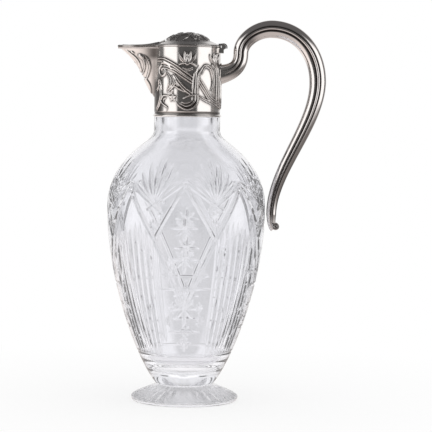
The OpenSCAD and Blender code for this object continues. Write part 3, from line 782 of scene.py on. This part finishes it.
def whiplash(relief, at):
    """The stems, swirls and buds of the sleeve. Places are (azimuth, height above the mount's foot)."""
    def place(points):
        return [at(a, z) for a, z in points]

    def stems(points, half, height, shifts=(0,), ends=(0.4, 0.4)):
        line = np.array(place(points))
        for shift in shifts:
            relief.stroke(line - outward(line) * shift, half, height, ends)

    relief.bud(at(0.5, 41.4), 9.4)
    relief.bud(at(54, 41.6), 8.6)
    stems([(-14, 40.2), (-8, 41.6), (0, 41.9), (8, 41.6), (16, 39.2)], 0.9, 1.0)
    stems([(-8, 38), (0, 37.2), (8, 38.2)], 0.6, 0.6, (0, -1.3))
    # Double band that sweeps from the left swirl down to the upright stem
    stems([(-62, 45.2), (-52, 45.4), (-39, 44.6), (-19, 40.2), (-5, 35.6), (9, 31)],
          0.75, 1.05, (0, -1.9), (0.8, 0.6))
    stems([(-40, 37.8), (-23, 35.2), (-11, 31.8), (8, 26)], 0.7, 1.0, (0, 1.7), (0.6, 0.6))
    relief.swirl(at(-46, 35.6), 4.8, 1.7, 110, 400, 1.05, 1.1)
    stems([(-50, 42), (-42, 42.4), (-33, 40.5), (-27, 36.4)], 1.5, 1.1, (0,), (0.7, 0.3))
    # Crossing stems below the swirl
    stems([(-38, 33.6), (-33, 30), (-32, 26), (-36, 22.6)], 0.65, 0.9, (0, 1.5))
    stems([(-28, 32.2), (-23, 29), (-26, 24.6), (-38, 20)], 0.7, 1.0, (0, 1.5))
    relief.petal(at(-21, 27.2), at(-13.5, 23.6), 1.0, 1.0)
    stems([(-22, 33), (-11.5, 26.8), (-2.4, 22.4), (9, 18.4)], 0.7, 1.0, (0, -1.7))
    stems([(-34, 22), (-22, 23.6), (-12, 21.4), (-4, 19.6)], 0.6, 0.8)
    # Upright stem with its two edges, flaring at the top
    stems([(17, 37.6), (11.5, 32), (9.8, 24), (8.9, 17.6)], 0.75, 1.15)
    stems([(30, 40.6), (20.5, 34), (18.2, 28), (19, 17.6)], 0.75, 1.15)
    stems([(20, 40), (15.5, 34), (14.2, 26), (14, 18)], 0.9, 0.5)
    # Loop round the bright cell on the right
    loop = [(23, 34), (29, 39.6), (38, 40), (46, 37.2), (51, 31), (51.6, 25.6), (46, 20)]
    stems(loop, 0.75, 1.1, (0, -1.6))
    stems([(23, 34), (20.6, 30), (21, 26)], 0.6, 0.9)
    # Bands that run down to the right
    stems([(19.8, 29), (30, 22), (41, 15.4), (54, 12), (78, 8)], 0.65, 1.05, (0, -1.5, 1.6), (0.5, 0.8))
    stems([(19, 17.4), (31.5, 14.2), (44, 12), (61, 9)], 0.55, 0.9, (0, -1.3))
    # Swirl like a horseshoe under the stem
    stems([(19, 16.8), (18.4, 12), (11.2, 7.6), (-0.9, 5.8), (-13.8, 9), (-18, 11.6)],
          0.7, 1.1, (0,), (0.9, 0.4))
    stems([(14.8, 16.6), (14, 12.8), (7, 9.7), (-2.4, 8.5), (-11, 10.6)], 0.75, 1.0, (0,), (0.9, 0.4))
    stems([(8.9, 15.6), (8.2, 12.6), (-0.9, 10.9), (-8.5, 11.4)], 0.5, 0.7)
    stems([(-6, 14.4), (5, 16.8), (19, 17.4)], 0.6, 1.0)
    # Side blossom and tendrils on the left
    for angle in range(0, 360, 72):
        a = math.radians(angle + 20)
        x, y = at(-25, 15)
        relief.petal((x, y), (x + 3.4 * math.cos(a), y + 3.4 * math.sin(a)), 1.1, 1.0)
    relief.petal(at(-29, 17.4), at(-24, 21.4), 1.1, 1.0)
    stems([(-31, 16.6), (-44, 16.4), (-49.6, 13.6), (-48.6, 11.2), (-41.2, 9), (-35, 7.2), (-37.5, 4.4)],
          0.75, 1.05)
    stems([(-37, 14.6), (-43, 13.6), (-42, 11.4)], 0.6, 0.8)
    for shift in (0, 1.9, 3.9):
        stems([(-60, 26 - shift), (-56, 29 - shift), (-51, 27 - shift), (-48, 23 - shift)], 0.6, 0.8)
    stems([(-62, 20), (-56, 23), (-52, 17), (-58, 10), (-66, 6)], 0.7, 0.9, (0, 1.6))
    # Uprights between the loop and the handle
    for azimuth in (57, 65, 74, 83):
        stems([(azimuth, 38), (azimuth + 2, 26), (azimuth + 1, 16), (azimuth + 7, 7)], 0.7, 1.0)
    relief.petal(at(45, 41), at(54, 37.8), 1.3, 1.1)


def mount_sleeve():
    """Chased sleeve with a plain inner wall. The pattern is mirrored on the far side."""
    columns = 900
    azimuth = all_round(columns)
    heights = np.linspace(0, MOUTH_Z - MOUNT_Z, 216)[:, None]
    turned = (azimuth + 180) % 360 - 180
    front = np.where(np.abs(turned) > 90, np.sign(turned) * 180 - turned, turned)
    per_degree = math.radians(1) * SLEEVE_R
    across = front * per_degree + 0 * heights
    up = heights + 0 * azimuth
    relief = Relief(across, up)
    whiplash(relief, lambda a, z: (a * per_degree, z))
    # A sunk band above the lower wire
    band = unit(1 - np.abs(up - (LOWER_WIRE_TOP + 1.2)) / 1.3) ** 0.5
    height = relief.height - 0.35 * band
    # Painted shade on the ground beside the spout
    ground = unit((-front - 44) / 8) * unit((32 - up) / 5) * unit(up / 4)
    ground = ground * 0.7 * unit(1 - relief.height / 0.5)
    oxide_and_shade = np.maximum(unit(relief.dark() * 1.15 + ground), 0.85 * band)
    outside = around(SLEEVE_R + height, azimuth, MOUNT_Z + up)
    inside_z = np.array([MOUTH_Z, mix(MOUTH_Z, MOUNT_Z, 0.5), MOUNT_Z])[:, None]
    inside = around(SLEEVE_R - SLEEVE_WALL, azimuth, inside_z + 0 * azimuth)
    values = np.vstack([oxide_and_shade, np.zeros((3, columns))])
    make_piece("chased_sleeve", "mount_sleeve", "jug", chased,
               np.vstack([outside, inside]), wrap_rows=True, values={"oxide_and_shade": values})


# Spout


# The line of the spout's nose, from its root on the sleeve to its tip, as (reach, height)
KEEL = [[SLEEVE_R - 0.6, MOUTH_Z - SPOUT_DROP],
        [mix(SLEEVE_R, SPOUT_REACH, 0.25), MOUTH_Z - 0.743 * SPOUT_DROP],
        [mix(SLEEVE_R, SPOUT_REACH, 0.37), MOUTH_Z - 0.3 * SPOUT_DROP],
        [SPOUT_REACH, MOUTH_Z]]
SPOUT_WALL = 0.9


def spout_v(t, u, inset):
    """The spout's skin: t runs from its root to its rim, u from -1 to 1 round its nose."""
    nose = bezier(KEEL, t)
    share = np.maximum((nose[:, 1] - MOUTH_Z) / SPOUT_DROP + 1, 0.03)[:, None]
    sharp = mix(1.9, 1.22, share)
    w = SPOUT_HALF_W * share ** 1.15
    edge = np.sqrt(SLEEVE_R ** 2 - w ** 2) - 1.2
    depth = nose[:, :1] - 1.7 * inset - edge
    x = -edge - depth * (1 - np.abs(u) ** sharp)
    return np.stack([x, (w - inset) * u, nose[:, 1:] + 0 * u], -1)


def spout():
    """Sheet V with a lobed leaf on each side, with painted shade where it joins the sleeve."""
    rows, columns = 220, 181
    t = np.linspace(0.01, 1, rows)
    u = np.linspace(-1, 1, columns)[None, :]
    outer = spout_v(t, u, 0)
    away, level = -outer[..., 0], outer[..., 2]
    relief = Relief(away, level)
    # Places in the side view: (distance from the jug's axis, height)
    relief.stroke([(49, 277), (44.5, 273.4), (40.5, 270), (38, 266), (37, 261), (37.2, 256)], 0.9, 0.75)
    relief.stroke([(44.6, 275.4), (43.2, 274.6), (42, 273.6)], 0.8, 0.7)
    relief.stroke([(38.4, 272.8), (36.4, 271.4), (34.8, 269.4)], 1.7, 1.1)
    relief.stroke([(36.4, 272), (34.4, 268), (33.6, 263.6), (34.6, 259.6), (36, 256.6)],
                  0.8, 0.9, (0.8, 0.2))
    relief.stroke([(34.6, 273), (31.6, 269.6), (29.6, 264), (31, 257), (33.6, 251)],
                  0.9, 0.95, (0.2, 0.2))
    relief.petal((33.9, 255.4), (28.2, 241), 2.0, 0.8, bend=-0.6, crease=0.3)
    relief.petal((39.6, 268), (35.6, 259.4), 1.1, 0.6, crease=0)
    for z in (267, 263, 259):
        relief.stroke([(41.4 + (z - 259) * 0.42, z - 2.4), (38.4 + (z - 259) * 0.35, z)], 0.55, 0.4)
    normal = np.cross(np.gradient(outer, axis=1), np.gradient(outer, axis=0))
    normal /= np.linalg.norm(normal, axis=2)[..., None] + 1e-9
    if normal[rows // 2, columns // 4, 1] > 0:
        normal = -normal
    height = relief.height * unit((MOUTH_Z - 1.6 - level) / 2)
    outer_points = outer + normal * height[..., None]
    inner_points = spout_v(t, u, SPOUT_WALL)[:, ::-1]
    # Painted shade along the seam with the sleeve, and in a patch beside its top
    seam_shade = np.exp(-((away - 26) / 2.6) ** 2) * 0.55
    shade = np.exp(-((away - 26) / 8.5) ** 2) * unit((level - (MOUTH_Z - 15)) / 8) * 0.88
    oxide_and_shade = unit(relief.dark(3, 2.6) + np.maximum(seam_shade, shade))
    points = np.concatenate([outer_points, inner_points], 1)
    values = np.concatenate([oxide_and_shade, np.full(oxide_and_shade.shape, 0.35)], 1)
    make_piece("spout_sheet", "spout", "jug", chased, points,
               values={"oxide_and_shade": values})


# Handle


# The handle's section, in places from 1 (outer edge) to -1 (inner): two grooves with half width and
# depth in mm, and the half-round bead between them
GROOVES = ((0.27, 0.12, 0.22), (-0.16, 0.17, 0.35))
BEAD = (0.08, 0.14, 0.3)
TAIL_HALF = 3.9         # half the handle's thickness beside the bowl
TAIL_GAP = 0.9          # its distance from the bowl there
TAIL_Z = 148


def hump(x):
    """1 at 0, falling away to 0 at -1 and at 1."""
    return np.cos(np.clip(x, -1, 1) * np.pi / 2)


def handle_path():
    """The handle's middle line as (x, z), from the mount to the curl, and half its thickness there."""
    tail_x = BOWL_R + TAIL_GAP + TAIL_HALF
    riser = np.array([SLEEVE_R + 15.7, MOUTH_Z - 4])
    root = np.array([SLEEVE_R - 1, MOUTH_Z - 20.7])
    crown = np.array([65.8, MOUTH_Z + 15.3])
    far = np.array([102.4, 252.5])
    tail = np.array([tail_x, TAIL_Z])
    curl = np.array([tail_x + 3.4, TAIL_Z - TAIL_HALF - 5.2])
    stretches = [
        ([root, root + [11, 2], riser - [0, 10.5], riser], 44),
        ([riser, riser + [0, 10.8], crown - [11.5, 0], crown], 44),
        ([crown, crown + [22.5, 0], far + [0, 22.2], far], 44),
        ([far, far - [0, 34], tail + [0, 35], tail], 66),
        ([tail, tail - [0, 4], curl - [3.2, 0.8], curl - [1.6, 2.4]], 16),
    ]
    # Half the thickness where the stretches meet. The root thickens quickly towards the mount.
    thick = [8, 6, 6.9, 6.7, TAIL_HALF, TAIL_HALF * 0.62]
    lines, halves = [], []
    for k, (points, steps) in enumerate(stretches):
        t = np.linspace(0, 1, steps * 10, endpoint=k == len(stretches) - 1)
        lines.append(bezier(points, t))
        halves.append(mix(thick[k], thick[k + 1], 1 - (1 - t) ** 3 if k == 0 else t))
    return np.vstack(lines), np.concatenate(halves)


def handle():
    """Cast handle: an outer and an inner band, and on each side a fine bead between two grooves."""
    line, half = handle_path()
    path = resample(np.column_stack([line, half]), 0.5)
    line, half = path[:, :2], path[:, 2]
    out = -outward(line)
    sides = 144
    a = np.linspace(0, 2 * np.pi, sides, endpoint=False)[None, :]
    a = a + 0.4 * np.sin(2 * a)     # closer steps where the grooves lie
    square = 0.86                   # below 1 the section is a little squarer than an ellipse
    c = np.sign(np.cos(a)) * np.abs(np.cos(a)) ** square
    s = np.sign(np.sin(a)) * np.abs(np.sin(a)) ** square
    run = run_along(line)
    fade = (unit(run / 14) * unit((run[-1] - run) / 12))[:, None]
    grooves = [hump((c - at) / wide) ** 2 for at, wide, _ in GROOVES]
    bead = hump((c - BEAD[0]) / BEAD[1]) ** 1.5
    depth = (sum(form * deep for form, (_, _, deep) in zip(grooves, GROOVES)) - BEAD[2] * bead) * fade
    scale = 1 - depth / half[:, None]
    offset = out[:, None, :] * (c * half[:, None] * scale)[..., None]
    xz = line[:, None, :] + offset
    y = s * half[:, None] * 0.95 * scale
    points = np.stack([xz[..., 0], y, xz[..., 1]], -1)
    # Oxide and painted shade in the grooves, less on the bead
    oxide_and_shade = unit(sum(grooves) * 2.4 - bead * 3) * fade
    # Towards the curl the oxide covers the bead, and it lines both edges
    age = unit((run / run[-1] - 0.66) / 0.2)[:, None]
    over_bead = 0.75 * unit(1.6 - np.abs(c - BEAD[0]) / 0.2)
    at_edges = 0.7 * unit((np.abs(c) - 0.72) / 0.15)
    oxide_and_shade = np.maximum(oxide_and_shade, age * (over_bead + at_edges) * fade)
    make_piece("cast_handle", "handle", "jug", cast, points,
               fans=(0, -1), values={"oxide_and_shade": oxide_and_shade})


def rolled_scroll():
    """The handle's end, rolled up: its turns show as a spiral groove on both ends."""
    middle = (scroll_low + scroll_high) / 2
    radius = (scroll_high.x - scroll_low.x) / 2
    half_l = scroll_high.y
    columns = 96
    angle = np.radians(all_round(columns))
    reach = np.linspace(0.04, 1, 30)[:, None]
    coil = (reach * 2.1 - angle / (2 * np.pi)) % 1
    groove = unit(1 - np.abs(coil - 0.5) / 0.2) * unit((1 - reach) / 0.12)
    eye = unit(1 - reach / 0.3)
    sunk = 0.5 * groove + 0.7 * eye
    round_off = 0.5 * unit((reach - 0.86) / 0.14) ** 2
    end = np.stack([middle.x + radius * reach * np.sin(angle), -half_l + sunk + round_off + 0 * angle,
                    middle.z + radius * reach * np.cos(angle)], -1)
    waist = np.linspace(-half_l + 0.6, half_l - 0.6, 25)[:, None]
    body_r = radius * (1 - 0.06 * np.cos(np.pi * waist / (2 * half_l)))
    body = np.stack([middle.x + body_r * np.sin(angle), waist + 0 * angle,
                     middle.z + body_r * np.cos(angle)], -1)
    points = np.vstack([end, body, end[::-1] * np.array([1, -1, 1])])
    dark = unit(groove * 0.9 + eye * 1.5)
    values = np.vstack([dark, np.zeros((len(waist), columns)), dark[::-1]])
    make_piece("rolled_scroll", "handle_scroll", "jug", cast, points,
               fans=(0, -1), values={"oxide_and_shade": values})


# Lid


def lid_dome():
    """Embossed dome on its sloping border."""
    low_z = dome_low.z
    rise = dome_high.z - low_z
    profile = np.vstack([[[BORDER_R, 0], [BORDER_R, 0.3]],
                         np.linspace([BORDER_R - 0.1, 0.4], [DOME_R, BORDER_H], 24),
                         curve([[DOME_R, BORDER_H], [DOME_R - 3.2, mix(BORDER_H, rise, 0.5)],
                                [DOME_R * 0.5, rise], [0.3, rise]], 90)[1:]])
    columns = 540
    azimuth = all_round(columns)
    run = run_along(profile)
    radius = profile[:, :1]
    angle = np.radians(azimuth)
    # The relief is laid out flat, by the distance from the top along the dome
    flat = run[-1] - run[:, None]
    relief = Relief(flat * np.sin(angle), -flat * np.cos(angle))

    def at(turn, far):
        return far * math.sin(math.radians(turn)), -far * math.cos(math.radians(turn))

    # Three rosettes, with leaves that curl up from the rim between them
    for turn in (27, 147, 267):
        x, y = at(turn, 14.5)
        for k in range(6):
            b = math.radians(60 * k + turn)
            foot, tip = ((x + far * math.cos(b), y + far * math.sin(b)) for far in (0.9, 4.4))
            relief.petal(foot, tip, 1.5, 0.95, crease=0.2)
        relief.stroke([(x - 0.4, y), (x + 0.4, y)], 1.0, 1.0)
        relief.petal(at(turn - 84, 19.5), at(turn - 44, 10), 2.6, 0.9, bend=2.4, crease=0.5)
        relief.petal(at(turn - 60, 19), at(turn - 22, 7), 1.9, 0.85, bend=2.6, crease=0.5)
        stem = [at(turn - 96, 18.5), at(turn - 70, 12.5), at(turn - 30, 9), at(turn + 6, 6)]
        relief.stroke(stem, 0.75, 0.9)
        stem = [at(turn - 40, 19), at(turn - 28, 15.5), at(turn - 12, 9.5), at(turn + 4, 8.4)]
        relief.stroke(stem, 0.65, 0.8)
        relief.swirl(at(turn - 6, 5.6), 2.4, 0.9, 200, 330, 0.65, 0.9)
    fade = unit((radius - 0.5) / 3) * unit((DOME_R - radius) / 1.2)
    normal = outward(profile)
    normal *= np.sign(normal[:, 1:].sum() + 1e-9)
    # The ground is sunk, so that what is raised stays close to the CAD dome's surface
    shift = (relief.height - 0.8) * fade
    height = low_z + profile[:, 1:] + normal[:, 1:] * shift
    points = around(radius + normal[:, :1] * shift, azimuth, height)
    inner = np.vstack([[[DOME_R - DOME_WALL, 0.01]],
                       curve([[DOME_R - DOME_WALL, BORDER_H - DOME_WALL],
                              [DOME_R - 5.2, mix(BORDER_H, rise, 0.5) - DOME_WALL - 0.8],
                              [(DOME_R - DOME_WALL) * 0.5, rise - DOME_WALL - 1],
                              [0.3, rise - DOME_WALL - 1]], 16)])
    inside = around(inner[:, :1], azimuth, low_z + inner[:, 1:] + 0 * azimuth)
    grid = np.vstack([inside[::-1], points])
    dark = unit(relief.dark(4, 1.7) * fade + 0.12 * fade)
    # A thin dark line where the border meets the plate and the dome
    dark += 0.6 * np.exp(-((radius - DOME_R - 0.3) / 0.35) ** 2)
    values = np.vstack([np.zeros((len(inner), columns)), unit(dark)])
    make_piece("embossed_dome", "lid_dome", "lid", embossed, grid,
               fans=(0, -1), values={"oxide_and_shade": values})


def lid_plate():
    """Flat plate with its tongue. Its rim is moulded: a round bead between two fine grooves."""
    overhang = 0.5
    thick = plate_high.z - plate_low.z
    hole_r = DOME_R - DOME_WALL - 0.6
    azimuth = np.linspace(-180, 180, 900, endpoint=False)
    rim = spout_v(np.array([1.0]), np.linspace(-1, 1, 241)[None, :], -overhang)[0]
    rim_azimuth = np.degrees(np.arctan2(rim[:, 0], -rim[:, 1]))
    rim_r = np.hypot(rim[:, 0], rim[:, 1])
    order = np.argsort(rim_azimuth)
    tongue = np.interp(azimuth, rim_azimuth[order], rim_r[order], left=0, right=0)
    edge = around(np.maximum(tongue, SLEEVE_R + overhang), azimuth, 0)[:, :2]
    edge[:, 0] = np.minimum(edge[:, 0], SLEEVE_R + 0.05)    # room for the hinge barrel
    along = np.roll(edge, -1, 0) - np.roll(edge, 1, 0)
    out = np.column_stack([along[:, 1], -along[:, 0]]) / np.linalg.norm(along, axis=1)[:, None]
    out *= np.sign((out * edge).sum(1))[:, None]
    # Rows of the rim: how far in from the edge, and height
    moulding = [(1.5, 0), (0.5, 0), (0.5, 0.2), (0.3, 0.26), (0.1, 0.38), (0, 0.6), (0, 0.95),
                (0.1, 1.16), (0.3, 1.28), (0.5, 1.34), (0.5, 1.5), (0.35, 1.62), (0.5, thick),
                (1.5, thick)]
    rows = []
    for inset, z in moulding:
        rows.append(np.column_stack([edge - out * inset, np.full(len(edge), plate_low.z + z)]))
    hole = around(hole_r, azimuth, 0)[:, :2]
    for z in (thick, 0):
        rows.append(np.column_stack([hole, np.full(len(hole), plate_low.z + z)]))
    # Oxide and painted shade in the two grooves, row by row: the lower groove paints the shadow gap
    # above the mouth
    dark = np.array([0, 0.7, 0.8, 0.4, 0, 0, 0, 0, 0.4, 0.8, 0.8, 0.2, 0, 0, 0, 0])[:, None]
    # Painted shadow along the tongue's rim, with a bright stretch near its tip
    reach = -edge[None, :, 0]
    rim_shadow = unit((reach - 22) / 4) * unit((45 - reach) / 4) * 0.8
    rim_shadow = np.maximum(rim_shadow, unit((reach - 50) / 2) * 0.8)
    # How much of the painted rim shadow each row takes
    shadow_share = np.array([0, 0.7, 1, 1, 1, 1, 1, 0.8, 0.8, 0.8, 0.8, 0.2, 0, 0, 0, 0])[:, None]
    make_piece("moulded_plate", "lid_plate", "lid", chased, np.array(rows),
               wrap_rows=True, values={"oxide_and_shade": np.maximum(dark, rim_shadow * shadow_share)})


def lid_beak():
    """Raised cover over the spout, with leaves embossed on it."""
    rows, columns = 110, 81
    tip_x, back_x = SPOUT_REACH - 3, DOME_R - 1
    t = np.linspace(0, 1, rows)[:, None]
    a = np.radians(np.linspace(180, 0, columns))[None, :]
    w = (SPOUT_HALF_W - 1.4) * np.maximum(t, 0.04) ** 0.8
    h = mix(0.3, BEAK_H, t ** 4)
    x = -mix(tip_x, back_x, t) + 0 * a
    y = w * np.cos(a)
    relief = Relief(x, y)
    relief.petal((-46, 0), (-24, 0), 2.6, 0.8, crease=0.6)
    for side in (-1, 1):
        relief.petal((-38, 1.5 * side), (-22, 6.5 * side), 1.9, 0.75, bend=-1.2 * side, crease=0.4)
        relief.petal((-32, 4.4 * side), (-21, 9.6 * side), 1.5, 0.7, bend=-0.8 * side, crease=0.4)
        relief.stroke([(-44, 2.2 * side), (-36, 4.4 * side), (-28, 8.2 * side)], 0.5, 0.6)
    fade = unit(np.sin(a) * 2.2) * unit(t * 6)
    lift = (relief.height - 0.5) * fade * np.clip(h / 1.6, 0.15, 1)
    z = PLATE_TOP_Z + np.maximum(h * np.sin(a) + lift, 0)
    dark = unit(relief.dark(3, 2) * fade + 0.25)
    make_piece("embossed_beak", "lid_beak", "lid", embossed, np.stack([x, y, z], -1),
               fans=(0, -1), values={"oxide_and_shade": dark})


def dress_cad_nodes():
    """Finishes for the CAD nodes whose shapes stay."""
    finishes = (
        (plaster_material(), ["neck_plaster"]), (gilt, ["neck_cap_ring", "lid_bezel"]),
        (dulled_shaded, ["spout_wire"]), (steel, ["hinge_pin"]),
        (plate, ["mount_lower_wire", "mount_upper_wire", "handle_seat", "hinge_lug_near",
                 "hinge_lug_far", "lid_knuckle", "thumb_piece"]))
    for material, names in finishes:
        for name in names:
            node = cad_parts[name]
            if not node.material_slots:
                node.data.materials.append(material)
            for slot in node.material_slots:
                slot.material = material


make_camera()
studio_world()
make_floor()
make_lamp()
glass_body()
mount_sleeve()
spout()
handle()
rolled_scroll()
lid_dome()
lid_plate()
lid_beak()
dress_cad_nodes()
